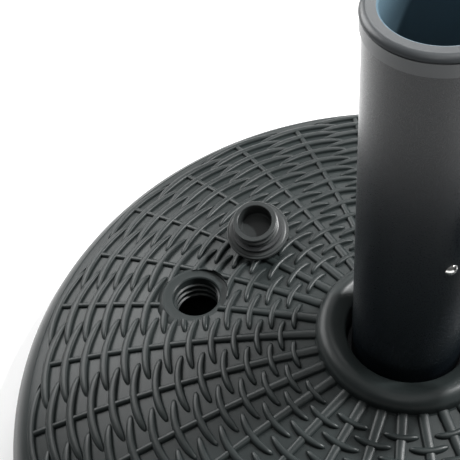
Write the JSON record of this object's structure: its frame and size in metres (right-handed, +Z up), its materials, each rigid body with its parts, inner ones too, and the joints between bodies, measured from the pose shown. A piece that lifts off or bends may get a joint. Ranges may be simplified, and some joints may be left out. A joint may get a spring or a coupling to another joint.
{
  "type": "parasol base",
  "caption": "Round fillable plastic parasol base with a woven-pattern top, a central pole tube with a clamping knob, and a screw-in filler plug lying loose beside its open neck.",
  "frame": {"origin": "on the stem axis at floor level, under the feet", "axes": "+Z up along the stem; +X along the clamping screw, outwards from the stem; +Y completes the frame"},
  "size_m": [0.49, 0.49, 0.325],
  "materials": {
    "tank_plastic": "fine moulded grain",
    "stem_plastic": "satin",
    "collar_plastic": "satin",
    "trim_plastic": "plain moulded",
    "knob_plastic": "satin moulded",
    "plug_plastic": "satin moulded",
    "nylon": "natural nylon",
    "zinc_steel": "bright zinc plated",
    "rivet_steel": "bright",
    "foot_rubber": "matt",
    "seal_rubber": "matt"
  },
  "bodies": {
    "base": {"tank_top": "tank_plastic", "tank_pan": "tank_plastic", "rubber_foot_1": "foot_rubber", "rubber_foot_2": "foot_rubber", "rubber_foot_3": "foot_rubber", "rubber_foot_4": "foot_rubber", "rubber_foot_5": "foot_rubber", "rubber_foot_6": "foot_rubber", "stem_tube": "stem_plastic", "stem_socket": "stem_plastic", "stem_washer": "trim_plastic", "ring_nut": "trim_plastic", "pole_stop": "trim_plastic", "end_collar": "collar_plastic", "nut_plate": "zinc_steel", "plate_rivets": "rivet_steel"},
    "tip": {"pressure_tip": "nylon"},
    "knob": {"clamp_screw": "zinc_steel", "clamp_knob": "knob_plastic", "knob_cap": "knob_plastic"},
    "plug": {"filler_plug": "plug_plastic", "plug_seal": "seal_rubber"}
  },
  "joints": [
    {"name": "screw_feed", "type": "slide", "parent": "base", "child": "tip", "axis": [-1, 0, 0], "range_m": [0, 0.0125]},
    {"name": "knob_turn", "type": "hinge", "parent": "tip", "child": "knob", "pos_m": [0.05, 0, 0.193], "axis": [-1, 0, 0], "range_deg": [0, 3601]},
    {"name": "plug_lift", "type": "slide", "parent": "base", "child": "plug", "axis": [0, 0, 1], "range_m": [0, 0.08]}
  ],
  "couplings": [
    {"joint": "knob_turn", "follows": "screw_feed", "rad_per_m": 5026.5}
  ]
}
